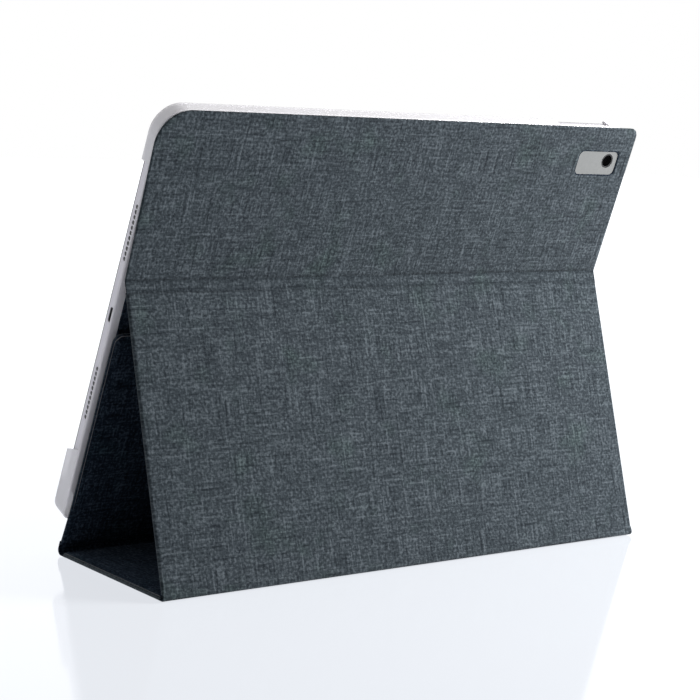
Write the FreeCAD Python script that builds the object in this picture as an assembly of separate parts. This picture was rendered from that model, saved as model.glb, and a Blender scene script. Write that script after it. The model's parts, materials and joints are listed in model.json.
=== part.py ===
import FreeCAD, Part
import math
import os

from FreeCAD import Matrix, Vector

# A folio stand case for a large tablet, standing in its viewing position.
# Millimetres.  +X runs along the case towards the tablet's port edge, +Y runs
# from the front fold to the rear foot, +Z is up.  The origin is the middle of
# the base panel's underside, on the surface that the case stands on.

# Stand triangle, measured on the outside of the cover.
base_length = 106.1
leg_length = 154.7
fold_to_crease = 160.8
case_width = 311.8

# Cover panels: a stiff board between an outer cloth and a lining.
cloth_thickness = 0.5
board_thickness = 2.0
upper_board_thickness = 1.1
panel_thickness = board_thickness + 2 * cloth_thickness
upper_thickness = upper_board_thickness + cloth_thickness
edge_gap = 0.05
fold_end = 4.0
crease_width = 5.6
panel_corner = 5.0
upper_corner = 18.0
fold_corner = 0.8
least_corner = 0.5
lining_inset = 2.5

# Tablet.
tablet_width = 305.7
tablet_height = 220.6
tablet_depth = 6.9
tablet_corner = 13.5
tablet_back_edge = 2.2
housing_wall = 1.1
glass_thickness = 0.9
tablet_above_fold = 26.1
tablet_before_fold = 7.6

# Clear tray.
tray_back = 1.0
tray_clearance = 0.15
tray_wall = 1.25
tray_lip = 7.2
lower_lip = 10.2
lower_ledge = 8.8
lower_corner = 5.0
lower_front_round = 7.0
tray_back_edge = 0.9
tray_lip_edge = 0.5
upper_corner_reach = 28.0
lower_corner_reach = 33.8
lower_end_slope = 0.57
corner_along_width = 36.0

# Dark cloth on the tray's back, below the crease, over the steel strip.
patch_thickness = 0.8
patch_low = 3.0
patch_side_inset = 3.4
patch_below_crease = 1.2

# Upper panel, bonded to the tray and standing off a little at the crease.
upper_top = 222.3
upper_gap_at_top = 0.1
crease_above_tablet_edge = fold_to_crease - tablet_above_fold

# Camera window, in tablet coordinates.
window_x = -131.2
window_s = 201.4
window_width = 31.0
window_height = 15.0
window_corner = 3.6
insert_gap = 0.15
insert_recess = 0.3
lens_x = -138.9
lens_s = 202.5
lens_radius = 3.7
sleeve_radius = 4.2
sleeve_bore = 3.4
sleeve_depth = -3.4

# Edge features of the tablet.
edge_mid_depth = 2.9
port_length = 8.4
port_width = 3.0
speaker_offset = 44.9
speaker_pitch = 2.8
speaker_holes = 11
speaker_radius = 1.15
speaker_recess = 0.12
volume_up_span = (-117.0, -101.5)
volume_down_span = (-133.5, -120.5)
power_span = (175.5, 188.0)
button_width = 2.6
button_proud = 0.55

# Strut panel that leans behind the tray.
strut_length = 131.0
strut_side_inset = 1.5
strut_inner = -1.0
strut_start = 6.4
base_start = 6.0

base_half = base_length / 2
half_width = case_width / 2
tablet_half = tablet_width / 2


def triangle_angle(side_a, side_b, opposite):
    cosine = (side_a**2 + side_b**2 - opposite**2) / (2 * side_a * side_b)
    return math.acos(cosine)


lean = triangle_angle(base_length, fold_to_crease, leg_length)
foot_angle = triangle_angle(base_length, leg_length, fold_to_crease)


class Frame:
    """A plane turned about X: s runs along a panel, d out of it."""

    def __init__(self, origin_y, origin_z, angle):
        self.y = origin_y
        self.z = origin_z
        self.angle = angle

    def point(self, along, depth):
        c = math.cos(self.angle)
        s = math.sin(self.angle)
        return (self.y + along * c - depth * s, self.z + along * s + depth * c)

    def place(self, shape):
        c = math.cos(self.angle)
        s = math.sin(self.angle)
        matrix = Matrix(1, 0, 0, 0, 0, c, -s, self.y, 0, s, c, self.z, 0, 0, 0, 1)
        moved = shape.copy()
        moved.transformShape(matrix, True)
        return moved

    def child(self, along, depth):
        y, z = self.point(along, depth)
        return Frame(y, z, self.angle)


base_frame = Frame(-base_half, 0, 0)
leg_frame = Frame(base_half, 0, math.pi - foot_angle)
strut_frame = Frame(-base_half, 0, lean)
crease_point = strut_frame.point(fold_to_crease, 0)
tray_frame = strut_frame.child(tablet_above_fold, tablet_before_fold)
upper_length = upper_top - crease_above_tablet_edge
upper_lift = tablet_before_fold - upper_thickness - upper_gap_at_top - tray_back
upper_tilt = math.asin(upper_lift / upper_length)
upper_frame = Frame(crease_point[0], crease_point[1], lean + upper_tilt)


def rounded_plate(x0, x1, s0, s1, d0, d1, radii):
    """A plate with corner radii at (x0,s0), (x1,s0), (x1,s1) and (x0,s1)."""
    corners = [(x0, s0, 1, 0), (x1, s0, 0, 1), (x1, s1, -1, 0), (x0, s1, 0, -1)]
    edges = []
    previous = None
    first = None
    for (x, s, tx, ts), r in zip(corners, radii):
        enter = Vector(x + ts * -r if tx == 0 else x, s if tx == 0 else s + tx * r, d0)
        leave = Vector(x if tx == 0 else x + tx * r, s + ts * r if tx == 0 else s, d0)
        if previous is not None and (previous - enter).Length > 1e-6:
            edges.append(Part.LineSegment(previous, enter).toShape())
        if first is None:
            first = enter
        if r > 0:
            centre = Vector(enter.x + leave.x - x, enter.y + leave.y - s, d0)
            outward = (Vector(x, s, d0) - centre).normalize()
            middle = centre + outward * r
            edges.append(Part.Arc(enter, middle, leave).toShape())
        previous = leave
    edges.append(Part.LineSegment(previous, first).toShape())
    face = Part.Face(Part.Wire(edges))
    return face.extrude(Vector(0, 0, d1 - d0))


def box(x0, x1, s0, s1, d0, d1):
    return Part.makeBox(x1 - x0, s1 - s0, d1 - d0, Vector(x0, s0, d0))


def fillet_at_depth(solid, depth, radius):
    """Round the outer edges that lie in the plane at one depth."""
    edges = []
    for edge in solid.Edges:
        bounds = edge.BoundBox
        if abs(bounds.ZMin - depth) < 1e-4 and abs(bounds.ZMax - depth) < 1e-4:
            edges.append(edge)
    return solid.makeFillet(radius, edges)


def save(name, shape, frame=None):
    placed = frame.place(shape) if frame else shape
    solids = placed.Solids
    result = solids[0] if len(solids) == 1 else Part.makeCompound(solids)
    result.exportStep("parts/" + name + ".step")


def cover_panel(name, frame, start, end, outer, inward, radii, half=half_width):
    """Save a panel's cloth and lining, and return its board.

    The outer face lies at depth outer.  inward is 1 where the inner face lies
    towards +d and -1 where it lies towards -d.
    """

    def layer(inset, near, far):
        low, high = sorted((outer + inward * near, outer + inward * far))
        corner = [max(radius - inset, least_corner) for radius in radii]
        side = half - inset
        return rounded_plate(-side, side, start + inset, end - inset, low, high, corner)

    wrap = cloth_thickness
    board_face = wrap + board_thickness
    cloth = layer(0, 0, board_face).cut(layer(wrap, wrap, board_face + 1))
    save(name + "_cloth", cloth, frame)
    save(name + "_lining", layer(lining_inset, board_face, panel_thickness), frame)
    return layer(wrap + edge_gap, wrap, board_face)


def build_base():
    end = base_length - fold_end
    board = cover_panel("base", base_frame, base_start, end, 0.0, 1, [fold_corner] * 4)
    save("base_board", board, base_frame)


def build_leg():
    end = leg_length - crease_width
    board = cover_panel("leg", leg_frame, fold_end, end, 0.0, 1, [fold_corner] * 4)
    save("leg_board", board, leg_frame)


magnet_length = 24.0
magnet_width = 6.0
magnet_thickness = 1.2
magnet_x = (-118.0, -59.0, 0.0, 59.0, 118.0)
magnet_from_edge = 5.0
dock_length = 220.0
dock_width = 14.0
dock_thickness = 0.6
dock_from_edge = 24.0


def build_strut():
    outer = strut_inner + panel_thickness
    radii = [fold_corner, fold_corner, panel_corner, panel_corner]
    half = half_width - strut_side_inset
    board = cover_panel("strut", strut_frame, strut_start, strut_length, outer, -1, radii, half)
    board_middle = outer - cloth_thickness - board_thickness / 2
    magnets = []
    for x in magnet_x:
        top = strut_length - magnet_from_edge
        magnet = rounded_plate(
            x - magnet_length / 2,
            x + magnet_length / 2,
            top - magnet_width,
            top,
            board_middle - magnet_thickness / 2,
            board_middle + magnet_thickness / 2,
            [1.0] * 4,
        )
        magnets.append(magnet)
        board = board.cut(magnet)
    dock_top = strut_length - dock_from_edge
    dock = rounded_plate(
        -dock_length / 2,
        dock_length / 2,
        dock_top - dock_width,
        dock_top,
        board_middle - dock_thickness / 2,
        board_middle + dock_thickness / 2,
        [2.0] * 4,
    )
    board = board.cut(dock)
    save("strut_board", board, strut_frame)
    save("strut_magnets", Part.makeCompound(magnets), strut_frame)
    save("keyboard_dock_plate", dock, strut_frame)


def window_solid(frame_shift, grow, d0, d1):
    half_w = window_width / 2 + grow
    half_h = window_height / 2 + grow
    middle = window_s - frame_shift
    return rounded_plate(
        window_x - half_w,
        window_x + half_w,
        middle - half_h,
        middle + half_h,
        d0,
        d1,
        [window_corner + grow] * 4,
    )


pad_inset = 7.0
pad_top_inset = 6.0
pad_bottom_inset = 3.0


def build_upper_panel():
    """The panel behind the tray, with the camera window through it."""
    frame = upper_frame
    start = edge_gap
    radii = [fold_corner, fold_corner, upper_corner, panel_corner]

    def layer(inset, d0, d1):
        corner = [max(radius - inset, least_corner) for radius in radii]
        side = half_width - inset
        return rounded_plate(-side, side, start + inset, upper_length - inset, d0, d1, corner)

    wrap = cloth_thickness
    opening = window_solid(crease_above_tablet_edge, 0, -5, 10)
    wider_opening = window_solid(crease_above_tablet_edge, wrap, -5, 10)
    board_opening = window_solid(crease_above_tablet_edge, wrap + edge_gap, -5, 10)
    outside = layer(0, 0, upper_thickness)
    pocket = layer(wrap, wrap, upper_thickness + 1).cut(wider_opening)
    save("upper_cloth", outside.cut(pocket).cut(opening), frame)
    board = layer(wrap + edge_gap, wrap, upper_thickness).cut(board_opening)
    save("upper_board", board, frame)


def build_adhesive_pad():
    """A wedge of foam tape that fills the gap between upper panel and tray."""
    low = pad_bottom_inset
    high = upper_length - pad_top_inset
    section = []
    for along in (low, high):
        section.append(upper_frame.point(along, upper_thickness))
    for along in (high, low):
        section.append(tray_frame.point(crease_above_tablet_edge + along, -tray_back))
    points = [Vector(-half_width + pad_inset, y, z) for y, z in section]
    wire = Part.makePolygon(points + [points[0]])
    pad = Part.Face(wire).extrude(Vector(case_width - 2 * pad_inset, 0, 0))
    opening = tray_frame.place(window_solid(0, 2.0, -12, 2))
    save("tray_adhesive_pad", pad.cut(opening))


def build_camera_insert():
    """The plate that fills the camera window, and the dark sleeve round the lens."""
    plate = upper_frame.place(window_solid(crease_above_tablet_edge, -insert_gap, insert_recess, 9))
    behind = tray_frame.place(box(-200, 200, 0, 300, -tray_back, 30))
    bore = Part.makeCylinder(sleeve_radius, 20, Vector(lens_x, lens_s, -10))
    save("camera_insert", plate.cut(behind).cut(tray_frame.place(bore)))
    reach = -sleeve_depth - 0.45
    sleeve = Part.makeCylinder(sleeve_radius - 0.02, reach, Vector(lens_x, lens_s, sleeve_depth))
    inside = Part.makeCylinder(sleeve_bore, reach + 2, Vector(lens_x, lens_s, sleeve_depth - 1))
    save("lens_sleeve", sleeve.cut(inside), tray_frame)


def heel_profile(depth0, depth1):
    """Side view of a lower corner: round at the bottom front, slanted at its end."""
    low = -tray_clearance - lower_ledge
    turn = lower_front_round
    far = depth1 - turn
    end_back = lower_corner_reach - lower_end_slope * depth0
    end_front = lower_corner_reach - lower_end_slope * depth1
    middle = math.sqrt(0.5) * turn
    start = Vector(-200, low, depth0)
    arc_start = Vector(-200, low, far)
    arc_middle = Vector(-200, low + turn - middle, far + middle)
    arc_end = Vector(-200, low + turn, depth1)
    front = Vector(-200, end_front, depth1)
    back = Vector(-200, end_back, depth0)
    edges = [
        Part.LineSegment(start, arc_start).toShape(),
        Part.Arc(arc_start, arc_middle, arc_end).toShape(),
        Part.LineSegment(arc_end, front).toShape(),
        Part.LineSegment(front, back).toShape(),
        Part.LineSegment(back, start).toShape(),
    ]
    return Part.Face(Part.Wire(edges)).extrude(Vector(400, 0, 0))


def tray_outline(grow, low_grow, low_radius, d0, d1):
    """The tablet's outline grown by an amount, and by another at the bottom."""
    radius = tablet_corner + grow
    side = tablet_half + grow
    radii = [low_radius, low_radius, radius, radius]
    return rounded_plate(-side, side, -low_grow, tablet_height + grow, d0, d1, radii)


button_cutout = (-136.0, -98.0)
keeper_length = 250.0
keeper_width = 10.0
keeper_thickness = 0.5


def build_tray():
    """Clear hard tray: a back with a rim at its corners and along its top."""
    grow = tray_clearance + tray_wall
    ledge = tray_clearance + lower_ledge
    body = tray_outline(grow, grow, lower_corner, -tray_back, tray_lip)
    body = fillet_at_depth(body, -tray_back, tray_back_edge)
    body = fillet_at_depth(body, tray_lip, tray_lip_edge)
    side_high = tablet_height - upper_corner_reach
    body = body.cut(box(-200, 200, 10, side_high, 0, 20))
    heel = tray_outline(grow, ledge, lower_corner, -tray_back, lower_lip)
    heel = fillet_at_depth(heel, -tray_back, tray_back_edge)
    heel = heel.common(heel_profile(-tray_back, lower_lip))
    body = body.fuse(heel)
    cavity = tray_outline(tray_clearance, tray_clearance, tablet_corner + tray_clearance, 0, 20)
    body = body.cut(cavity)
    reach = tablet_half - corner_along_width
    body = body.cut(box(-reach, reach, -20, 10, 0, 20))
    body = body.cut(box(-reach, reach, -20, -grow, -20, 20))
    top = tablet_height - 5
    body = body.cut(box(button_cutout[0], button_cutout[1], top, top + 20, 1.0, 20))
    body = body.cut(Part.makeCylinder(sleeve_radius, 6, Vector(lens_x, lens_s, -3)))
    save("tray_shell", body.removeSplitter(), tray_frame)


def build_keeper():
    """Thin steel strip that the strut's magnets hold, under a cloth patch."""
    along = strut_length - magnet_from_edge - magnet_width / 2 - tablet_above_fold
    strip = rounded_plate(
        -keeper_length / 2,
        keeper_length / 2,
        along - keeper_width / 2,
        along + keeper_width / 2,
        -tray_back - keeper_thickness,
        -tray_back,
        [2.0] * 4,
    )
    save("tray_keeper_strip", strip, tray_frame)
    side = tablet_half - patch_side_inset
    top = crease_above_tablet_edge - patch_below_crease
    patch = rounded_plate(
        -side, side, patch_low, top, -tray_back - patch_thickness, -tray_back, [panel_corner] * 4
    )
    save("tray_patch", patch.cut(strip), tray_frame)


def band(name, points, thickness):
    """A strip of doubled cloth that follows points in the Y-Z plane."""
    outside = []
    inside = []
    count = len(points)
    for index, (y, z) in enumerate(points):
        before = points[max(index - 1, 0)]
        after = points[min(index + 1, count - 1)]
        first = Vector(y - before[0], z - before[1], 0)
        second = Vector(after[0] - y, after[1] - z, 0)
        if index == 0:
            first = second
        if index == count - 1:
            second = first
        first.normalize()
        second.normalize()
        normal_a = Vector(-first.y, first.x, 0)
        normal_b = Vector(-second.y, second.x, 0)
        normal = (normal_a + normal_b).normalize()
        stretch = thickness / 2 / max(normal.dot(normal_a), 0.3)
        outside.append(Vector(-half_width, y + normal.x * stretch, z + normal.y * stretch))
        inside.append(Vector(-half_width, y - normal.x * stretch, z - normal.y * stretch))
    loop = outside + inside[::-1]
    face = Part.Face(Part.makePolygon(loop + [loop[0]]))
    save(name, face.extrude(Vector(case_width, 0, 0)))


strip_thickness = 0.9
strip_clear = 0.15


def build_fold_strips():
    middle = strip_thickness / 2 + 0.05
    upper_end = upper_frame.point(-0.45, middle + 0.2)
    crease_low = leg_frame.point(leg_length - crease_width + strip_clear, middle)
    crease_mid = leg_frame.point(leg_length - 1.2, middle + 0.2)
    band("crease_strip", [crease_low, crease_mid, upper_end], strip_thickness)

    leg_end = leg_frame.point(fold_end - strip_clear, middle)
    base_end = base_frame.point(base_length - fold_end + strip_clear, middle)
    near_leg = leg_frame.point(1.4, middle)
    near_base = base_frame.point(base_length - 1.4, middle)
    band("foot_strip", [base_end, near_base, near_leg, leg_end], strip_thickness)

    outer = strut_inner + panel_thickness
    strut_end = strut_frame.point(strut_start - strip_clear, outer - middle)
    near_strut = strut_frame.point(3.0, outer - middle)
    low_front = base_frame.point(-0.6, middle + 0.5)
    near_front = base_frame.point(2.0, middle)
    base_begin = base_frame.point(base_start - strip_clear, middle)
    band("front_strip", [strut_end, near_strut, low_front, near_front, base_begin], strip_thickness)


def edge_hole(x0, x1, along, radius):
    return Part.makeCylinder(radius, x1 - x0, Vector(x0, along, edge_mid_depth), Vector(1, 0, 0))


def speaker_rows():
    middle = tablet_height / 2
    rows = []
    for side in (-1, 1):
        for row in (-1, 1):
            centre = middle + row * speaker_offset
            first = centre - speaker_pitch * (speaker_holes - 1) / 2
            rows.append((side, [first + speaker_pitch * i for i in range(speaker_holes)]))
    return rows


def slot_in_edge(x0, x1, along, length, width):
    """A rounded slot through the short edge, as long as the port."""
    half = length / 2 - width / 2
    slot = box(x0, x1, along - half, along + half, edge_mid_depth - width / 2, edge_mid_depth + width / 2)
    for end in (-half, half):
        slot = slot.fuse(edge_hole(x0, x1, along + end, width / 2))
    return slot.removeSplitter()


def button_blank(low, high, grow, height0, height1):
    """A pill-shaped button that stands up from s = 0 towards +s, in X."""
    half = button_width / 2 + grow
    low = low - grow
    high = high + grow
    pill = box(low + half, high - half, height0, height1, edge_mid_depth - half, edge_mid_depth + half)
    for x in (low + half, high - half):
        end_centre = Vector(x, height0, edge_mid_depth)
        round_end = Part.makeCylinder(half, height1 - height0, end_centre, Vector(0, 1, 0))
        pill = pill.fuse(round_end)
    return pill.removeSplitter()


def turned_to_side(shape):
    """Turn a top-edge feature so that it faces -X: x becomes s, s becomes -x."""
    matrix = Matrix(0, -1, 0, 0, 1, 0, 0, 0, 0, 0, 1, 0, 0, 0, 0, 1)
    turned = shape.copy()
    turned.transformShape(matrix, True)
    return turned


button_root = 0.6
button_gap = 0.15


def build_buttons(housing):
    top = tablet_height
    inside = top - housing_wall - button_root
    outside = top + button_proud
    for name, span in (("volume_up_button", volume_up_span), ("volume_down_button", volume_down_span)):
        housing = housing.cut(button_blank(span[0], span[1], button_gap, top - 3, top + 3))
        save(name, button_blank(span[0], span[1], 0, inside, outside), tray_frame)
    side = tablet_half
    cut = turned_to_side(button_blank(power_span[0], power_span[1], button_gap, side - 3, side + 3))
    housing = housing.cut(cut)
    root = side - housing_wall - button_root
    blank = button_blank(power_span[0], power_span[1], 0, root, side + button_proud)
    save("power_button", turned_to_side(blank), tray_frame)
    return housing


def build_tablet():
    radii = [tablet_corner] * 4
    rim_depth = tablet_depth - glass_thickness - 0.02
    outer = rounded_plate(-tablet_half, tablet_half, 0, tablet_height, 0, rim_depth, radii)
    outer = fillet_at_depth(outer, 0, tablet_back_edge)
    wall = housing_wall
    inner_radii = [tablet_corner - wall] * 4
    inner_side = tablet_half - wall
    inner_top = tablet_height - wall
    hollow = rounded_plate(
        -inner_side, inner_side, wall, inner_top, wall, tablet_depth + 1, inner_radii
    )
    housing = outer.cut(hollow)
    middle = tablet_height / 2
    port_cut = slot_in_edge(tablet_half - 3, tablet_half + 3, middle, port_length, port_width)
    housing = housing.cut(port_cut)
    backing = []
    for side, row in speaker_rows():
        low, high = sorted((side * (tablet_half - 3), side * (tablet_half + 3)))
        holes = [edge_hole(low, high, along, speaker_radius) for along in row]
        housing = housing.cut(Part.makeCompound(holes))
        near, far = sorted((side * (tablet_half - wall - 0.1), side * (tablet_half - wall - 0.4)))
        grille = box(near, far, row[0] - 2, row[-1] + 2, edge_mid_depth - 1.4, edge_mid_depth + 1.4)
        near, far = sorted((side * (tablet_half - wall - 0.3), side * (tablet_half - speaker_recess)))
        plugs = [edge_hole(near, far, along, speaker_radius - 0.03) for along in row]
        backing.append(grille.multiFuse(plugs))
    housing = build_buttons(housing)
    lens_hole = Part.makeCylinder(lens_radius, 6, Vector(lens_x, lens_s, -2))
    housing = housing.cut(lens_hole)
    save("tablet_housing", housing, tray_frame)
    save("speaker_meshes", Part.makeCompound(backing), tray_frame)
    build_port(middle)
    build_lens()
    build_front()
    build_inside(middle)


port_depth = 6.4
port_tongue_width = 5.2
port_tongue_thickness = 0.6


def build_port(middle):
    liner = slot_in_edge(tablet_half - 7, tablet_half - 0.15, middle, port_length - 0.1, port_width - 0.1)
    bore = slot_in_edge(tablet_half - port_depth, tablet_half + 1, middle, port_length - 0.9, port_width - 0.9)
    half_tongue = port_tongue_thickness / 2
    tongue = box(
        tablet_half - port_depth,
        tablet_half - 1.4,
        middle - port_tongue_width / 2,
        middle + port_tongue_width / 2,
        edge_mid_depth - half_tongue,
        edge_mid_depth + half_tongue,
    )
    save("port_liner", liner.cut(bore), tray_frame)
    save("port_tongue", tongue, tray_frame)


def build_lens():
    glass_radius = lens_radius - 0.75
    barrel_radius = lens_radius - 1.6
    ring = Part.makeCylinder(lens_radius - 0.05, 2.2, Vector(lens_x, lens_s, -0.35))
    glass = Part.makeCylinder(glass_radius - 0.02, 0.6, Vector(lens_x, lens_s, -0.25))
    barrel = Part.makeCylinder(barrel_radius - 0.02, 1.2, Vector(lens_x, lens_s, 0.45))
    seat = Part.makeCylinder(glass_radius, 0.75, Vector(lens_x, lens_s, -0.36))
    seat = seat.fuse(Part.makeCylinder(barrel_radius, 2.0, Vector(lens_x, lens_s, 0.2)))
    save("camera_ring", ring.cut(seat), tray_frame)
    save("camera_glass", glass, tray_frame)
    save("camera_barrel", barrel, tray_frame)


screen_margin = 11.5
screen_margin_side = 21.35
screen_thickness = 1.3


def build_front():
    gap = 0.1
    radii = [tablet_corner - gap] * 4
    top = tablet_depth
    side = tablet_half - gap
    glass = rounded_plate(-side, side, gap, tablet_height - gap, top - glass_thickness, top, radii)
    save("front_glass", fillet_at_depth(glass, top, 0.3), tray_frame)
    half_screen = tablet_half - screen_margin_side
    under = top - glass_thickness
    screen = box(
        -half_screen,
        half_screen,
        screen_margin,
        tablet_height - screen_margin,
        under - screen_thickness,
        under - 0.05,
    )
    save("display_panel", screen, tray_frame)


def build_inside(middle):
    floor = housing_wall + 0.1
    ceiling = tablet_depth - glass_thickness - 1.45
    cells = []
    for x0, x1 in ((-118.0, -43.0), (-40.0, 40.0), (43.0, 118.0)):
        cells.append(rounded_plate(x0, x1, 30.0, 150.0, floor, ceiling, [2.0] * 4))
    save("battery_cells", Part.makeCompound(cells), tray_frame)
    board = box(-115.0, 110.0, 158.0, 188.0, floor, floor + 1.0)
    save("main_board", board, tray_frame)
    boxes = []
    for side in (-1, 1):
        for row in (-1, 1):
            centre = middle + row * speaker_offset
            near, far = sorted((side * (tablet_half - 2.0), side * (tablet_half - 22.0)))
            boxes.append(box(near, far, centre - 18, centre + 18, floor, ceiling))
    save("speaker_boxes", Part.makeCompound(boxes), tray_frame)


def main():
    os.makedirs("parts", exist_ok=True)
    build_base()
    build_leg()
    build_strut()
    build_upper_panel()
    build_adhesive_pad()
    build_tray()
    build_camera_insert()
    build_keeper()
    build_fold_strips()
    build_tablet()


main()
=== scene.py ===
import json
import math

import bpy
from mathutils import Matrix, Vector, noise


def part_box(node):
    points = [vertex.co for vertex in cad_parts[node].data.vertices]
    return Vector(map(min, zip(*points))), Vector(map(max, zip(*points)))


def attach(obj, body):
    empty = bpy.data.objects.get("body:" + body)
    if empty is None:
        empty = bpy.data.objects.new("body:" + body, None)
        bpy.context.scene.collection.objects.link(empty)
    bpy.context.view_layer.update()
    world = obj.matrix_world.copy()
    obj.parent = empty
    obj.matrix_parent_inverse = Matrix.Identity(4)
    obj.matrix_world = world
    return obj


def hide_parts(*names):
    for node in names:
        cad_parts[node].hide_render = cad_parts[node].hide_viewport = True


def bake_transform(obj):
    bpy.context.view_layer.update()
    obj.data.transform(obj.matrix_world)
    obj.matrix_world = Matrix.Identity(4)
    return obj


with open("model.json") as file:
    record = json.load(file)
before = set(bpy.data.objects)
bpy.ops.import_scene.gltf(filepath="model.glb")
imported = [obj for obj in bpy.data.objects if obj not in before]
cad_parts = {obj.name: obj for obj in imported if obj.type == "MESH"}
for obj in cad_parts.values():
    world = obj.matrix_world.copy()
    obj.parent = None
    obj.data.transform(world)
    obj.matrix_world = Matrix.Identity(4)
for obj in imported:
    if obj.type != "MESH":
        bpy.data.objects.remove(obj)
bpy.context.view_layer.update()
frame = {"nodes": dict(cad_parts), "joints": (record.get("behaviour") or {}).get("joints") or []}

MM = 0.001

# Thicknesses: a whole panel, its board wrapped in cloth, and the lining inside.
PANEL = 3.0 * MM
WRAP = 2.6 * MM
LINING = 0.4 * MM
LINING_INSET = 3.2 * MM
SMALLEST_LINING_CORNER = 1.0 * MM
UPPER_PANEL = 1.6 * MM

# Distance of each panel's end from the line where its fold's two planes meet.
FOLD_END = 4.0 * MM
CREASE_WIDTH = 5.6 * MM
BASE_START = 6.0 * MM
STRUT_START = 6.4 * MM

# Depths of the strut's two faces from its plane, and corner radii.
STRUT_OUTER = 2.0 * MM
STRUT_INNER = -1.0 * MM
PANEL_CORNER = 5.0 * MM
UPPER_CORNER = 18.0 * MM

# The strut is narrower than the base and flares out to it near the front fold.
STRUT_INSET = 1.5 * MM
FLARE_LENGTH = 45 * MM

# Soft strips between the panels: thickness, depth below the outer face, and how
# far their ends are tucked in under the panels.
FOLD_CLOTH = 0.9 * MM
FOLD_RECESS = 0.3 * MM
FOLD_TUCK = 1.4 * MM
FOLD_DEPTH = FOLD_RECESS + FOLD_CLOTH / 2
CREASE_BEND = 1.6 * MM
FOOT_BEND = 1.5 * MM
FRONT_BEND = 2.4 * MM
FOOT_CORNER_SHARE = 0.9
FRONT_CORNER_SHARE = 0.4

# Surface of a panel: grid step, edges that meet a fold, and the cloth's waves.
GRID = 2.5 * MM
ROLL_AT_FOLD = 1.2 * MM
DROP_AT_FOLD = 0.5 * MM
SAG = 0.05 * MM
LINING_SAG = 0.02 * MM
WAVES_PER_METRE = 55
RIPPLES_PER_METRE = 160
RIPPLE_SHARE = 0.6
RIPPLE_SEED = 7
TINY = 1e-9

# Shifts of the weave along X and along the strip, so that the inner faces and the
# linings don't repeat the outer face's threads.
INNER_SHIFT = 1.0
LINING_SHIFT = 2.0

# Camera window through the upper panel.
WINDOW_X = -131.2 * MM
WINDOW_WIDTH = 31.0 * MM
WINDOW_HEIGHT = 15.0 * MM
WINDOW_CORNER = 3.6 * MM
WINDOW_RIM = 0.9 * MM
WINDOW_RIM_DEPTH = 0.35 * MM
WINDOW_RIM_STEPS = 8
WINDOW_CUT_FROM = -3 * MM
WINDOW_CUT_TO = 5 * MM

joints = {joint["name"]: joint for joint in frame["joints"]}
foot = Vector(joints["foot_fold"]["pos_m"])
crease = Vector(joints["crease_fold"]["pos_m"])
screen_normal = Vector(joints["tablet_lift_out"]["axis"])
lean = math.atan2(-screen_normal.y, screen_normal.z)
half_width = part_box("base_cloth")[1].x


class Plane:
    """A plane turned about X: s runs along it, d out of it."""

    def __init__(self, y, z, angle):
        self.y = y
        self.z = z
        self.angle = angle

    def flat(self, s, d):
        c = math.cos(self.angle)
        n = math.sin(self.angle)
        return Vector((self.y + s * c - d * n, self.z + s * n + d * c))

    def point(self, x, s, d):
        p = self.flat(s, d)
        return Vector((x, p.x, p.y))


def upper_angle():
    low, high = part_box("upper_cloth")
    return math.atan2(high.z - crease.z - UPPER_PANEL * math.cos(lean), high.y - crease.y)


base_plane = Plane(-foot.y, 0.0, 0.0)
base_length = 2 * foot.y
leg_plane = Plane(foot.y, 0.0, math.atan2(crease.z, crease.y - foot.y))
leg_length = (crease - foot).length
strut_plane = Plane(-foot.y, 0.0, lean)
strut_length = (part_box("strut_cloth")[1].z - STRUT_OUTER * math.cos(lean)) / math.sin(lean)
upper_plane = Plane(crease.y, crease.z, upper_angle())
upper_length = (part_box("upper_cloth")[1].y - crease.y) / math.cos(upper_plane.angle)
insert_low, insert_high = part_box("camera_insert")
window_middle = (insert_low + insert_high) / 2
upper_along = Vector((0, math.cos(upper_plane.angle), math.sin(upper_plane.angle)))
window_along = (window_middle - crease).dot(upper_along)


# ---------------------------------------------------------------- mesh tools


def edge_steps(length, low_roll, high_roll, step, turn=7):
    """Positions from 0 to length, close together where an edge is rolled."""
    low = [low_roll * (1 - math.cos(math.pi / 2 * i / turn)) for i in range(turn)]
    high = [length - high_roll * (1 - math.cos(math.pi / 2 * i / turn)) for i in range(turn)]
    span = length - low_roll - high_roll
    count = max(int(span / step), 1)
    middle = [low_roll + span * i / count for i in range(count + 1)]
    return low + middle + high[::-1]


def mesh_object(name, vertices, faces, uvs, material):
    mesh = bpy.data.meshes.new(name)
    mesh.from_pydata(vertices, [], faces)
    layer = mesh.uv_layers.new(name="cloth")
    for loop in mesh.loops:
        layer.data[loop.index].uv = uvs[loop.vertex_index]
    mesh.polygons.foreach_set("use_smooth", [True] * len(mesh.polygons))
    mesh.materials.append(material)
    mesh.update()
    thing = bpy.data.objects.new(name, mesh)
    bpy.context.scene.collection.objects.link(thing)
    return thing


def rounded_position(x, s, size, radii):
    """Squeeze a rectangle's corner squares into quarter discs.

    radii belong to (low x, low s), (high x, low s), (high x, high s), (low x, high s).
    Returns the new place and its distance from the outline.
    """
    width, length = size
    signs = ((-1, -1), (1, -1), (1, 1), (-1, 1))
    for (sx, ss), radius in zip(signs, radii):
        if radius <= 0:
            continue
        cx = radius if sx < 0 else width - radius
        cs = radius if ss < 0 else length - radius
        u = (x - cx) * sx / radius
        v = (s - cs) * ss / radius
        if u > 0 and v > 0:
            a = u * math.sqrt(1 - v * v / 2)
            b = v * math.sqrt(1 - u * u / 2)
            away = radius * (1 - math.sqrt(a * a + b * b))
            return cx + sx * a * radius, cs + ss * b * radius, max(away, 0.0)
    return x, s, min(x, width - x, s, length - s)


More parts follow.
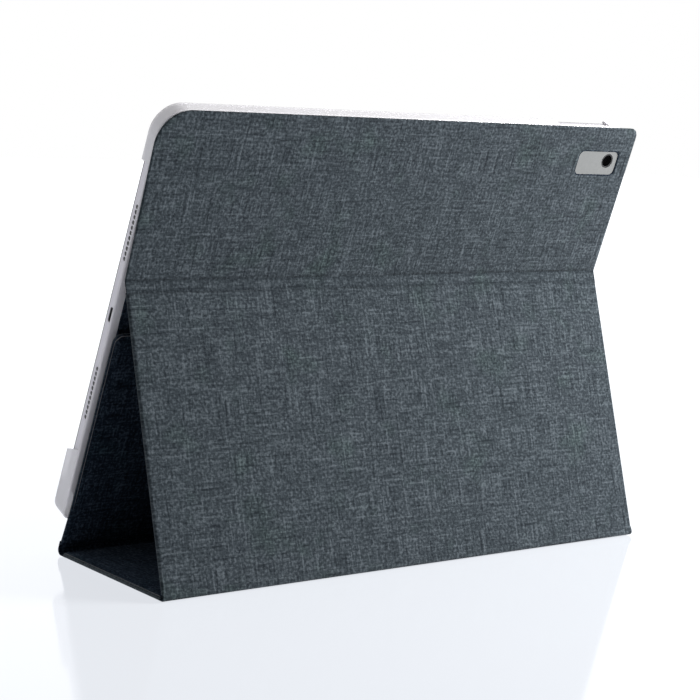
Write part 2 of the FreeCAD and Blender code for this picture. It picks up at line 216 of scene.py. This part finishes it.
class Sheet:
    """Two faces over one grid, joined along their rim, as a closed mesh."""

    def __init__(self):
        self.vertices = []
        self.uvs = []
        self.faces = []

    def add(self, position, uv):
        self.vertices.append(position)
        self.uvs.append(uv)
        return len(self.vertices) - 1

    def pair(self, outer, inner, uv, joined):
        """Add a point to each face, or one to both where they are joined."""
        first = self.add(outer, uv)
        if joined:
            return first, first
        return first, self.add(inner, (uv[0] + INNER_SHIFT, uv[1]))

    def quads(self, grid, flip):
        for i in range(len(grid) - 1):
            for j in range(len(grid[0]) - 1):
                loop = [grid[i][j], grid[i + 1][j], grid[i + 1][j + 1], grid[i][j + 1]]
                self.face(loop, flip)

    def face(self, loop, flip=False):
        clean = []
        for index in loop:
            if index not in clean:
                clean.append(index)
        if len(clean) > 2:
            self.faces.append(clean[::-1] if flip else clean)

    def rim(self, first, second, flip):
        for i in range(len(first) - 1):
            self.face([first[i], first[i + 1], second[i + 1], second[i]], flip)

    def close(self, tops, bottoms, flip):
        """Make both faces and join them along all four sides."""
        self.quads(tops, flip)
        self.quads(bottoms, not flip)
        self.rim(tops[0], bottoms[0], flip)
        self.rim(tops[-1], bottoms[-1], not flip)
        self.rim([row[0] for row in tops], [row[0] for row in bottoms], not flip)
        self.rim([row[-1] for row in tops], [row[-1] for row in bottoms], flip)


def rounded_rise(away, half):
    """Height of a face over the middle, at a distance from its rolled edge."""
    roll = min(away / half, 1.0)
    return half * math.sqrt(max(1 - (1 - roll) ** 2, 0.0))


def cloth_wave(x, s, seed):
    """Broad waves and small ripples of cloth over a board, about -1 to 1."""
    wave = noise.noise(Vector((x * WAVES_PER_METRE, s * WAVES_PER_METRE, seed)))
    ripple = noise.noise(Vector((x * RIPPLES_PER_METRE, s * RIPPLES_PER_METRE, seed + RIPPLE_SEED)))
    return wave + RIPPLE_SHARE * ripple


def distance_from_free_edge(spans, away, free, half):
    """Distance from the outline, counting only its free sides away from the corners."""
    if away < min(spans) - TINY:
        return away
    free_spans = [span for span, side in zip(spans, free) if side]
    return min(free_spans) if free_spans else half


def panel(name, plane, s0, s1, outer, inner, material, uv, free=(True, True, True, True),
          radii=(0, 0, 0, 0), inset=0.0, side_inset=0.0, sag=SAG, seed=0.0):
    """A covered board: flat faces at depths outer and inner, rolled at free edges.

    free says which of low x, high x, low s and high s are rolled.  uv is (start,
    sense): the place of s = 0 along the whole cloth and which way s runs on it.
    """
    half_x = half_width - inset - side_inset
    width = 2 * half_x
    low_s = s0 + inset
    length = s1 - s0 - 2 * inset
    half = abs(outer - inner) / 2
    middle = (outer + inner) / 2
    toward_outer = 1.0 if outer > inner else -1.0
    fold_roll = min(ROLL_AT_FOLD, half)
    fold_drop = min(DROP_AT_FOLD, half / 2)
    rolls = [half if side else fold_roll for side in free]
    xs = edge_steps(width, rolls[0], rolls[1], GRID)
    ss = edge_steps(length, rolls[2], rolls[3], GRID)
    sheet = Sheet()
    tops = []
    bottoms = []
    for x in xs:
        top_row = []
        bottom_row = []
        for s in ss:
            px, ps, away = rounded_position(x, s, (width, length), radii)
            away = distance_from_free_edge((px, width - px, ps, length - ps), away, free, half)
            rise = rounded_rise(away, half)
            drop = 0.0
            for span, side in ((ps, free[2]), (length - ps, free[3])):
                if not side and span < fold_roll:
                    drop = fold_drop * (1 - span / fold_roll) ** 2
            sagging = sag * cloth_wave(px, ps, seed) * min(away / (4 * half), 1.0)
            rise_outer = max(rise - drop, 0.0) + sagging
            world_s = low_s + ps
            flare = side_inset * max(1 - world_s / FLARE_LENGTH, 0.0) ** 2
            world_x = (px - half_x) * (half_x + flare) / half_x
            along = uv[0] + uv[1] * world_s
            outer_point = plane.point(world_x, world_s, middle + toward_outer * rise_outer)
            inner_point = plane.point(world_x, world_s, middle - toward_outer * rise)
            top, bottom = sheet.pair(outer_point, inner_point, (world_x, along), rise < TINY)
            top_row.append(top)
            bottom_row.append(bottom)
        tops.append(top_row)
        bottoms.append(bottom_row)
    sheet.close(tops, bottoms, toward_outer < 0)
    return mesh_object(name, sheet.vertices, sheet.faces, sheet.uvs, material)


def shade_inward_faces(piece, inward, turn_in, material):
    """Give a second material, the darker inner cloth, to the faces whose normal turns inward far enough:
    painted shade on the wrap.
    """
    piece.data.materials.append(material)
    for polygon in piece.data.polygons:
        if polygon.normal.dot(inward) > turn_in:
            polygon.material_index = 1


def rounded_path(start, corner, end, radius, steps=10, straight_steps=4):
    """Start to end by way of a corner that is rounded with an arc."""
    to_start = (start - corner).normalized()
    to_end = (end - corner).normalized()
    half_angle = to_start.angle(to_end) / 2
    reach = radius / math.tan(half_angle)
    centre = corner + (to_start + to_end).normalized() * (radius / math.sin(half_angle))
    first = corner + to_start * reach - centre
    last = corner + to_end * reach - centre
    turn = first.angle(last)
    path = [start.lerp(centre + first, t / straight_steps) for t in range(straight_steps)]
    for i in range(steps + 1):
        t = i / steps
        blend = (first * math.sin((1 - t) * turn) + last * math.sin(t * turn)) / math.sin(turn)
        path.append(centre + blend)
    path += [(centre + last).lerp(end, t / straight_steps) for t in range(1, straight_steps + 1)]
    return path


def fold_strip(name, path, outer_sign, uv):
    """Doubled cloth that follows a path in Y and Z, closed all round.

    outer_sign is +1 where the outer face lies left of the path's direction.  The outer face is of the
    cover's cloth and the inner one of its lining, whose dark yarns are painted shade.
    """
    half = FOLD_CLOTH / 2
    xs = [x - half_width for x in edge_steps(2 * half_width, half, half, GRID)]
    sheet = Sheet()
    tops = []
    bottoms = []
    lengths = [0.0]
    for a, b in zip(path, path[1:]):
        lengths.append(lengths[-1] + (b - a).length)
    for x in xs:
        rise = rounded_rise(min(x + half_width, half_width - x), half)
        top_row = []
        bottom_row = []
        for index, point in enumerate(path):
            before = path[max(index - 1, 0)]
            after = path[min(index + 1, len(path) - 1)]
            along = (after - before).normalized()
            normal = Vector((-along.y, along.x)) * outer_sign
            place = uv[0] + uv[1] * lengths[index]
            above = point + normal * rise
            below = point - normal * rise
            outer_point = Vector((x, above.x, above.y))
            inner_point = Vector((x, below.x, below.y))
            top, bottom = sheet.pair(outer_point, inner_point, (x, place), rise < TINY)
            top_row.append(top)
            bottom_row.append(bottom)
        tops.append(top_row)
        bottoms.append(bottom_row)
    sheet.close(tops, bottoms, outer_sign < 0)
    strip = mesh_object(name, sheet.vertices, sheet.faces, sheet.uvs, cloth)
    strip.data.materials.append(lining)
    inside = {index for row in bottoms for index in row}
    for polygon in strip.data.polygons:
        if inside.issuperset(polygon.vertices):
            polygon.material_index = 1
    return strip


# ---------------------------------------------------------------- materials


def new_material(name):
    material = bpy.data.materials.new(name)
    material.use_nodes = True
    nodes = material.node_tree.nodes
    return material, nodes, material.node_tree.links, nodes["Principled BSDF"]


def node(nodes, kind, **values):
    made = nodes.new(kind)
    for key, value in values.items():
        if key in made.inputs:
            made.inputs[key].default_value = value
        else:
            setattr(made, key, value)
    return made


def math_node(nodes, links, operation, a, b=0.0):
    made = nodes.new("ShaderNodeMath")
    made.operation = operation
    for index, value in enumerate((a, b)):
        if isinstance(value, (int, float)):
            made.inputs[index].default_value = value
        else:
            links.new(value, made.inputs[index])
    return made.outputs[0]


# How much each part of the weave changes the cloth's shade.
SPECK = 1.25
THREAD = 0.55
BROAD = 0.35
SLUB = 0.2
SLUB_DARK = 0.2

# The sizes of those parts, in changes per metre along and across the threads.
THREAD_ALONG = 190
THREAD_ACROSS = 1050
SLUB_ACROSS = 760
WEFT_SLUB_ALONG = 45
WARP_SLUB_ALONG = 38
SPECKS_PER_METRE = 680
BROAD_PER_METRE = 110
CLOUDS_PER_METRE = 35

# Noise values between which a slub turns bright or dark, and a cloud is tinted.
SLUB_BRIGHT_RANGE = (0.60, 0.80)
SLUB_DARK_RANGE = (0.36, 0.20)
CLOUD_RANGE = (0.55, 0.72)

# Places of the dark, middle and light yarns on the shade's scale.
DARK_AT = 0.12
MIDDLE_AT = 0.50
LIGHT_AT = 0.92

# The two lines pressed along the crease: a dent in the bump, and painted shade that darkens the yarn
# there.
PRESSED_WIDTH = 1.9 * MM
PRESSED_DEPTH_AND_SHADE = 0.20

# Height of the weave's relief, and the contrast of the grain on plain surfaces.
WEAVE_RELIEF = 0.4 * MM
GRAIN_FROM = 0.3
GRAIN_TO = 0.7
ROUGHNESS_GRAIN = 0.06


def stretched_noise(nodes, links, vector, scale, detail=2.0, roughness=0.5):
    """Noise with its own number of changes per metre along each axis."""
    mapping = nodes.new("ShaderNodeMapping")
    mapping.inputs["Scale"].default_value = scale
    links.new(vector, mapping.inputs["Vector"])
    made = node(nodes, "ShaderNodeTexNoise", Scale=1.0, Detail=detail, Roughness=roughness)
    links.new(mapping.outputs[0], made.inputs["Vector"])
    return made.outputs["Fac"]


def scaled(nodes, links, value, low, high, to_low, to_high):
    """Map a value's range onto another, without clamping."""
    made = nodes.new("ShaderNodeMapRange")
    made.clamp = False
    made.inputs["From Min"].default_value = low
    made.inputs["From Max"].default_value = high
    made.inputs["To Min"].default_value = to_low
    made.inputs["To Max"].default_value = to_high
    links.new(value, made.inputs["Value"])
    return made.outputs[0]


def pressed_lines_and_shade(nodes, links, place):
    """The pressed depth on the lines pressed along the crease, falling off to each side; it dents the bump
    and darkens the colour as painted shade.
    """
    split = nodes.new("ShaderNodeSeparateXYZ")
    links.new(place, split.inputs[0])
    total = 0.0
    for along in (0.0, CREASE_WIDTH):
        away = math_node(nodes, links, "SUBTRACT", split.outputs["Y"], along)
        away = math_node(nodes, links, "ABSOLUTE", away)
        near = scaled(nodes, links, away, 0.0, PRESSED_WIDTH, PRESSED_DEPTH_AND_SHADE, 0.0)
        near = math_node(nodes, links, "MAXIMUM", near, 0.0)
        total = math_node(nodes, links, "ADD", near, total)
    return total


def weave_shade(nodes, links, place):
    """Shade of the woven threads, about 0 for the darkest yarn to 1 for the lightest."""
    weft = stretched_noise(nodes, links, place, (THREAD_ALONG, THREAD_ACROSS, THREAD_ALONG), 1.0)
    warp = stretched_noise(nodes, links, place, (THREAD_ACROSS, THREAD_ALONG, THREAD_ACROSS), 1.0)
    weft_slub = stretched_noise(nodes, links, place, (WEFT_SLUB_ALONG, SLUB_ACROSS, WEFT_SLUB_ALONG), 0.0)
    warp_slub = stretched_noise(nodes, links, place, (SLUB_ACROSS, WARP_SLUB_ALONG, SLUB_ACROSS), 0.0)
    speck = stretched_noise(nodes, links, place, [SPECKS_PER_METRE] * 3, 1.0, 0.6)
    broad = stretched_noise(nodes, links, place, [BROAD_PER_METRE] * 3)
    total = scaled(nodes, links, speck, 0.0, 1.0, -0.5 * SPECK, 0.5 * SPECK)
    for value, weight in ((weft, THREAD), (warp, THREAD), (broad, BROAD)):
        share = scaled(nodes, links, value, 0.0, 1.0, -0.5 * weight, 0.5 * weight)
        total = math_node(nodes, links, "ADD", total, share)
    for value in (weft_slub, warp_slub):
        bright = scaled(nodes, links, value, *SLUB_BRIGHT_RANGE, 0.0, SLUB)
        bright = math_node(nodes, links, "MAXIMUM", bright, 0.0)
        total = math_node(nodes, links, "ADD", total, bright)
        deep = scaled(nodes, links, value, *SLUB_DARK_RANGE, 0.0, SLUB_DARK)
        deep = math_node(nodes, links, "MAXIMUM", deep, 0.0)
        total = math_node(nodes, links, "SUBTRACT", total, deep)
    return math_node(nodes, links, "ADD", total, 0.5)


def yarn_ramp(nodes, links, shade, dark, middle, light):
    """Colour of the yarn at each shade."""
    ramp = nodes.new("ShaderNodeValToRGB")
    ramp.color_ramp.elements[0].position = DARK_AT
    ramp.color_ramp.elements[0].color = (*dark, 1)
    ramp.color_ramp.elements[1].position = LIGHT_AT
    ramp.color_ramp.elements[1].color = (*light, 1)
    centre = ramp.color_ramp.elements.new(MIDDLE_AT)
    centre.color = (*middle, 1)
    links.new(shade, ramp.inputs["Fac"])
    return ramp.outputs[0]


def tinted_clouds(nodes, links, place, color, tint):
    """Tint broad, soft-edged clouds of the cloth."""
    cloud = stretched_noise(nodes, links, place, [CLOUDS_PER_METRE] * 3, 3.0)
    mix = nodes.new("ShaderNodeMix")
    mix.data_type = "RGBA"
    mix.blend_type = "MULTIPLY"
    mix.inputs["B"].default_value = (*tint, 1)
    cloud_ramp = nodes.new("ShaderNodeMapRange")
    cloud_ramp.inputs["From Min"].default_value = CLOUD_RANGE[0]
    cloud_ramp.inputs["From Max"].default_value = CLOUD_RANGE[1]
    cloud_ramp.inputs["To Max"].default_value = 1.0
    links.new(cloud, cloud_ramp.inputs["Value"])
    links.new(cloud_ramp.outputs[0], mix.inputs["Factor"])
    links.new(color, mix.inputs["A"])
    return mix.outputs["Result"]


def linen(name, dark, middle, light, tint, bump=0.5, gloss=1.0, use_uv=True):
    """Heather linen: slubby warp and weft threads of mixed shades.

    The weave follows the cloth's UV map, where X and the place along the strip
    are in metres, or else the object's own axes.
    """
    material, nodes, links, shader = new_material(name)
    if use_uv:
        place = node(nodes, "ShaderNodeUVMap", uv_map="cloth").outputs[0]
    else:
        place = node(nodes, "ShaderNodeTexCoord").outputs["Object"]
    shade = weave_shade(nodes, links, place)
    if use_uv:
        # The pressed lines also darken the yarn colour: painted shade in the crease grooves.
        shade = math_node(nodes, links, "SUBTRACT", shade, pressed_lines_and_shade(nodes, links, place))
    color = yarn_ramp(nodes, links, shade, dark, middle, light)
    color = tinted_clouds(nodes, links, place, color, tint)
    links.new(color, shader.inputs["Base Color"])
    bumper = node(nodes, "ShaderNodeBump", Strength=bump, Distance=WEAVE_RELIEF)
    links.new(shade, bumper.inputs["Height"])
    links.new(bumper.outputs[0], shader.inputs["Normal"])
    shader.inputs["Roughness"].default_value = 0.92
    shader.inputs["Specular IOR Level"].default_value = 0.12 * gloss
    shader.inputs["Sheen Weight"].default_value = 0.06 * gloss
    shader.inputs["Sheen Roughness"].default_value = 0.5
    return material


def plain(name, color, roughness, metallic=0.0, grain=0.0, grain_scale=900.0, **extra):
    """Moulded, machined or coated surface with a fine grain.

    The grain changes the colour by its share and the roughness by ROUGHNESS_GRAIN.
    """
    material, nodes, links, shader = new_material(name)
    shader.inputs["Metallic"].default_value = metallic
    position = node(nodes, "ShaderNodeTexCoord").outputs["Object"]
    fine = node(nodes, "ShaderNodeTexNoise", Scale=grain_scale, Detail=3.0)
    links.new(position, fine.inputs["Vector"])
    ramp = nodes.new("ShaderNodeValToRGB")
    ramp.color_ramp.elements[0].position = GRAIN_FROM
    ramp.color_ramp.elements[1].position = GRAIN_TO
    ramp.color_ramp.elements[0].color = (*[c * (1 - grain) for c in color], 1)
    ramp.color_ramp.elements[1].color = (*[min(c * (1 + grain), 1.0) for c in color], 1)
    links.new(fine.outputs["Fac"], ramp.inputs["Fac"])
    links.new(ramp.outputs[0], shader.inputs["Base Color"])
    rough = nodes.new("ShaderNodeMapRange")
    rough.inputs["To Min"].default_value = max(roughness - ROUGHNESS_GRAIN, 0.0)
    rough.inputs["To Max"].default_value = min(roughness + ROUGHNESS_GRAIN, 1.0)
    links.new(fine.outputs["Fac"], rough.inputs["Value"])
    links.new(rough.outputs[0], shader.inputs["Roughness"])
    for key, value in extra.items():
        shader.inputs[key.replace("_", " ")].default_value = value
    return material


# Dark, middle and light yarns of each cloth, and the tint of its clouds.
CLOTH_COLORS = ((0.0075, 0.0115, 0.0155), (0.0265, 0.0345, 0.0410), (0.077, 0.092, 0.104))
CLOTH_TINT = (0.88, 1.0, 0.90)
# The linings' yarns are much darker than the cover's. This is partly the lining's own navy and partly
# painted shade of the case's dim inside. The base's lining is lighter, with less painted shade, because
# its top faces up into more light.
LINING_SHADE_COLORS = ((0.0016, 0.0030, 0.0058), (0.0068, 0.0115, 0.0195), (0.034, 0.047, 0.066))
BASE_LINING_SHADE_COLORS = ((0.0043, 0.0081, 0.0147), (0.0184, 0.0300, 0.0500), (0.075, 0.100, 0.135))
LINING_TINT = (0.8, 1.0, 0.9)
LINING_GLOSS = 0.2

cloth = linen("linen_cloth", *CLOTH_COLORS, CLOTH_TINT)
# The lining materials and the tray's patch carry that painted shade in their yarn colours.
lining = linen("linen_lining_painted_shade", *LINING_SHADE_COLORS, LINING_TINT, gloss=LINING_GLOSS)
shaded_base_lining = linen("linen_base_painted_shade", *BASE_LINING_SHADE_COLORS, LINING_TINT, gloss=LINING_GLOSS)
shaded_tray_cloth = linen("linen_patch_painted_shade", *LINING_SHADE_COLORS, LINING_TINT, gloss=LINING_GLOSS, use_uv=False)

clear = plain("clear_plastic", (0.90, 0.885, 0.915), 0.14, grain=0.01, Transmission_Weight=0.35, IOR=1.5)
grey_plastic = plain("grey_plastic", (0.140, 0.143, 0.141), 0.5, grain=0.03, grain_scale=600.0)
aluminium = plain(
    "anodised_aluminium", (0.55, 0.535, 0.575), 0.42, metallic=0.45, grain=0.03, grain_scale=2500.0
)
black_glass = plain("black_glass", (0.006, 0.006, 0.007), 0.06, grain=0.02, Specular_IOR_Level=0.28)
lens_black = plain("lens_black", (0.003, 0.003, 0.004), 0.08, grain=0.02)
dark_metal = plain("dark_metal", (0.012, 0.012, 0.013), 0.4, metallic=0.3, grain=0.1)
dark_plastic = plain("dark_plastic", (0.018, 0.018, 0.019), 0.55, grain=0.1)
steel = plain("steel_strip", (0.42, 0.42, 0.43), 0.35, metallic=1.0, grain=0.06)
nickel = plain("nickel", (0.5, 0.49, 0.47), 0.25, metallic=1.0, grain=0.04)
fibre_board = plain("fibre_board", (0.10, 0.10, 0.105), 0.8, grain=0.2)
foam_tape = plain("foam_tape", (0.012, 0.012, 0.014), 0.9, grain=0.2)
port_metal = plain("port_metal", (0.12, 0.12, 0.125), 0.35, metallic=0.9, grain=0.05)
foil = plain("battery_foil", (0.04, 0.04, 0.042), 0.45, grain=0.1)
green_board = plain("circuit_board", (0.008, 0.05, 0.022), 0.45, grain=0.15)

NODE_MATERIALS = {
    "tray_shell": clear,
    "tray_patch": shaded_tray_cloth,
    "camera_insert": grey_plastic,
    "lens_sleeve": lens_black,
    "tablet_housing": aluminium,
    "volume_up_button": aluminium,
    "volume_down_button": aluminium,
    "power_button": aluminium,
    "front_glass": black_glass,
    "display_panel": black_glass,
    "camera_ring": dark_metal,
    "camera_glass": lens_black,
    "camera_barrel": lens_black,
    "port_liner": port_metal,
    "port_tongue": dark_plastic,
    "speaker_meshes": dark_metal,
    "speaker_boxes": dark_plastic,
    "battery_cells": foil,
    "main_board": green_board,
    "tray_adhesive_pad": foam_tape,
    "tray_keeper_strip": steel,
    "keyboard_dock_plate": steel,
    "strut_magnets": nickel,
    "base_board": fibre_board,
    "leg_board": fibre_board,
    "strut_board": fibre_board,
    "upper_board": fibre_board,
}


def dress_nodes():
    """Give its material to each CAD node that no piece replaces."""
    for name, material in NODE_MATERIALS.items():
        mesh = frame["nodes"][name].data
        mesh.materials.clear()
        mesh.materials.append(material)


# ---------------------------------------------------------------- the cover

# The whole cloth is one strip: upper panel, crease, leg, foot, base, front
# fold, strut.  Places along it are counted from the crease towards the strut, and
# the upper panel's are negative.
FOOT_AT = leg_length
FRONT_AT = leg_length + base_length


def build_upper():
    piece = panel("upper_cover", upper_plane, 0.0, upper_length, 0.0, UPPER_PANEL, cloth, (0.0, -1.0),
                  free=(True, True, False, True), radii=(0, 0, UPPER_CORNER, PANEL_CORNER), seed=1.0)
    cut_window(piece)
    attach(piece, "tray")
    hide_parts("upper_cloth")


def rounded_rectangle(width, height, radius, steps=6):
    """Points round a rectangle with round corners, centred on the origin."""
    points = []
    for quarter, (sx, ss) in enumerate(((1, 1), (-1, 1), (-1, -1), (1, -1))):
        for i in range(steps + 1):
            angle = math.pi / 2 * (quarter + i / steps)
            x = sx * (width / 2 - radius) + radius * math.cos(angle)
            s = ss * (height / 2 - radius) + radius * math.sin(angle)
            points.append((x, s))
    return points


def ring_loft(name, rings, material):
    """A closed band through several rings of points, last ring joined to the first."""
    count = len(rings[0])
    vertices = [point for ring in rings for point in ring]
    faces = []
    for k in range(len(rings)):
        following = (k + 1) % len(rings)
        for i in range(count):
            j = (i + 1) % count
            faces.append([k * count + i, k * count + j, following * count + j, following * count + i])
    uvs = [(v.x, v.z) for v in vertices]
    return mesh_object(name, vertices, faces, uvs, material)


def cut_window(piece):
    """Cut the camera window through the upper cover."""
    outline = rounded_rectangle(WINDOW_WIDTH, WINDOW_HEIGHT, WINDOW_CORNER)
    vertices = []
    for depth in (WINDOW_CUT_FROM, WINDOW_CUT_TO):
        for x, s in outline:
            vertices.append(upper_plane.point(WINDOW_X + x, window_along + s, depth))
    count = len(outline)
    faces = [list(range(count))[::-1], list(range(count, 2 * count))]
    for i in range(count):
        j = (i + 1) % count
        faces.append([i, j, count + j, count + i])
    cutter = mesh_object("window_cutter", vertices, faces, [(0.0, 0.0)] * len(vertices), cloth)
    cut = piece.modifiers.new("window", "BOOLEAN")
    cut.operation = "DIFFERENCE"
    cut.solver = "EXACT"
    cut.object = cutter
    bpy.context.view_layer.objects.active = piece
    bpy.ops.object.modifier_apply(modifier=cut.name)
    bpy.data.objects.remove(cutter)


def build_window_rim():
    """The turned-in edge of the cloth round the camera window."""
    half = WINDOW_RIM / 2
    rings = []
    for i in range(WINDOW_RIM_STEPS):
        turn = 2 * math.pi * i / WINDOW_RIM_STEPS
        grow = half * math.cos(turn)
        depth = WINDOW_RIM_DEPTH - half * math.sin(turn)
        width = WINDOW_WIDTH + 2 * grow - half
        height = WINDOW_HEIGHT + 2 * grow - half
        outline = rounded_rectangle(width, height, WINDOW_CORNER + grow)
        rings.append([upper_plane.point(WINDOW_X + x, window_along + s, depth) for x, s in outline])
    # The rim uses the lining material, whose darkened yarns are painted shade.
    rim = ring_loft("window_rim", rings, lining)
    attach(rim, "tray")


def build_panel(part, plane, s0, s1, outer, inner, uv, free, radii=(0, 0, 0, 0), side_inset=0.0,
                sag=SAG, inner_shaded_cloth=lining, turn_in=0.2):
    """A panel's wrap and the lining on its inner face, both riding on its body.

    turn_in is the cosine above which the wrap's rolled edge shows the inner cloth, whose dark yarns are
    painted shade of the case's inside.
    """
    sense = 1.0 if inner > outer else -1.0
    piece = panel(part + "_cover", plane, s0, s1, outer, outer + sense * WRAP, cloth, uv, free=free,
                  radii=radii, side_inset=side_inset, sag=sag, seed=len(part) * 3.0)
    shade_inward_faces(piece, plane.point(0, 0, sense) - plane.point(0, 0, 0), turn_in, inner_shaded_cloth)
    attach(piece, part)
    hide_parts(part + "_cloth")
    inner_radii = [max(radius - LINING_INSET, SMALLEST_LINING_CORNER) for radius in radii]
    patch = panel(part + "_lining_cloth", plane, s0, s1, inner, inner - sense * LINING, inner_shaded_cloth,
                  (uv[0] + LINING_SHIFT, uv[1]), radii=inner_radii, inset=LINING_INSET,
                  side_inset=side_inset, sag=LINING_SAG)
    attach(patch, part)
    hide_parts(part + "_lining")


def build_crease():
    start = leg_plane.flat(leg_length - CREASE_WIDTH - FOLD_TUCK, FOLD_DEPTH)
    end = upper_plane.flat(FOLD_TUCK, FOLD_DEPTH)
    corner = leg_plane.flat(leg_length, FOLD_DEPTH)
    path = rounded_path(start, corner, end, CREASE_BEND)
    strip = fold_strip("crease_fold_cloth", path, -1, (CREASE_WIDTH + FOLD_TUCK, -1.0))
    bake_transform(strip)
    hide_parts("crease_strip")


def build_foot():
    start = base_plane.flat(base_length - FOLD_END - FOLD_TUCK, FOLD_DEPTH)
    end = leg_plane.flat(FOLD_END + FOLD_TUCK, FOLD_DEPTH)
    half_turn = math.pi / 2 - (leg_plane.angle - math.pi / 2) / 2
    corner = Vector((foot.y - FOLD_DEPTH / math.tan(half_turn) * FOOT_CORNER_SHARE, FOLD_DEPTH))
    path = rounded_path(start, corner, end, FOOT_BEND)
    strip = fold_strip("foot_fold_cloth", path, -1, (FOOT_AT + FOLD_END + FOLD_TUCK, -1.0))
    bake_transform(strip)
    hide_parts("foot_strip")


def build_front():
    start = base_plane.flat(BASE_START + FOLD_TUCK, FOLD_DEPTH)
    end = strut_plane.flat(STRUT_START + FOLD_TUCK, STRUT_OUTER - FOLD_DEPTH)
    under_strut = strut_plane.flat(0, STRUT_OUTER - FOLD_DEPTH).x
    corner = Vector((under_strut + FOLD_DEPTH * FRONT_CORNER_SHARE, FOLD_DEPTH))
    path = rounded_path(start, corner, end, FRONT_BEND)
    strip = fold_strip("front_fold_cloth", path, 1, (FRONT_AT - BASE_START - FOLD_TUCK, 1.0))
    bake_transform(strip)
    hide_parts("front_strip")


def build_cover():
    build_upper()
    build_window_rim()
    build_panel("leg", leg_plane, FOLD_END, leg_length - CREASE_WIDTH, 0.0, PANEL, (FOOT_AT, -1.0),
                (True, True, False, False))
    build_panel("base", base_plane, BASE_START, base_length - FOLD_END, 0.0, PANEL, (FRONT_AT, -1.0),
                (True, True, False, False), sag=0.0, inner_shaded_cloth=shaded_base_lining, turn_in=0.8)
    build_panel("strut", strut_plane, STRUT_START, strut_length, STRUT_OUTER, STRUT_INNER, (FRONT_AT, 1.0),
                (True, True, False, True), (0, 0, PANEL_CORNER, PANEL_CORNER), side_inset=STRUT_INSET)
    build_crease()
    build_foot()
    build_front()


# ---------------------------------------------------------------- stage


FLOOR_SIZE = 12
FLOOR_GAP = 0.2 * MM
FILL = 0.30
LAMP_TARGET = Vector((0, 0, 0.1))
LAMPS = (
    ("key", (-0.62, 0.44, 0.38), 0.35, 14.5),
    ("top", (0.1, -0.4, 1.5), 1.4, 3.0),
)
CAMERA_AZIMUTH = math.radians(142.92)
CAMERA_ELEVATION = math.radians(7.30)
CAMERA_ROLL = math.radians(2.45)
CAMERA_PLACE = Vector((597.1, 773.55, 231.9)) * MM
CAMERA_LENS = 94.26
CAMERA_SENSOR = 36.0


def floor():
    """Pale floor that shines a little by itself and reflects the case faintly."""
    bpy.ops.mesh.primitive_plane_add(size=FLOOR_SIZE, location=(0, 0, -FLOOR_GAP))
    plane = bpy.context.object
    plane.name = "studio_floor"
    material, _, _, shader = new_material("studio_floor")
    shader.inputs["Base Color"].default_value = (0.15, 0.155, 0.16, 1)
    shader.inputs["Emission Color"].default_value = (0.91, 0.94, 1.0, 1)
    shader.inputs["Emission Strength"].default_value = 0.76
    shader.inputs["Roughness"].default_value = 0.08
    shader.inputs["Specular IOR Level"].default_value = 0.25
    plane.data.materials.append(material)


def studio_world():
    """White to look at and in reflections, with a softer fill on matt surfaces."""
    world = bpy.data.worlds.new("studio")
    bpy.context.scene.world = world
    world.use_nodes = True
    nodes = world.node_tree.nodes
    links = world.node_tree.links
    background = nodes["Background"]
    background.inputs["Color"].default_value = (1, 1, 1, 1)
    rays = nodes.new("ShaderNodeLightPath")
    strength = nodes.new("ShaderNodeMapRange")
    strength.inputs["To Min"].default_value = 1.0
    strength.inputs["To Max"].default_value = FILL
    links.new(rays.outputs["Is Diffuse Ray"], strength.inputs["Value"])
    links.new(strength.outputs[0], background.inputs["Strength"])


def lights():
    bpy.context.scene.view_settings.view_transform = "Standard"
    studio_world()
    for name, place, size, power in LAMPS:
        lamp = bpy.data.lights.new(name, "AREA")
        lamp.size = size
        lamp.energy = power
        thing = bpy.data.objects.new(name, lamp)
        thing.location = place
        aim = LAMP_TARGET - Vector(place)
        thing.rotation_euler = aim.to_track_quat("-Z", "Y").to_euler()
        bpy.context.scene.collection.objects.link(thing)


def camera():
    """Camera behind the case, turned by its azimuth and elevation and then rolled."""
    level = math.cos(CAMERA_ELEVATION)
    back = Vector((
        math.sin(CAMERA_AZIMUTH) * level,
        -math.cos(CAMERA_AZIMUTH) * level,
        math.sin(CAMERA_ELEVATION),
    ))
    right = Vector((0, 0, 1)).cross(back).normalized()
    up = back.cross(right)
    rolled_right = right * math.cos(CAMERA_ROLL) + up * math.sin(CAMERA_ROLL)
    rolled_up = up * math.cos(CAMERA_ROLL) - right * math.sin(CAMERA_ROLL)
    data = bpy.data.cameras.new("camera")
    data.lens = CAMERA_LENS
    data.sensor_width = CAMERA_SENSOR
    thing = bpy.data.objects.new("camera", data)
    turn = Matrix((rolled_right, rolled_up, back)).transposed()
    thing.matrix_world = Matrix.Translation(CAMERA_PLACE) @ turn.to_4x4()
    bpy.context.scene.collection.objects.link(thing)
    bpy.context.scene.camera = thing


camera()
dress_nodes()
build_cover()
floor()
lights()
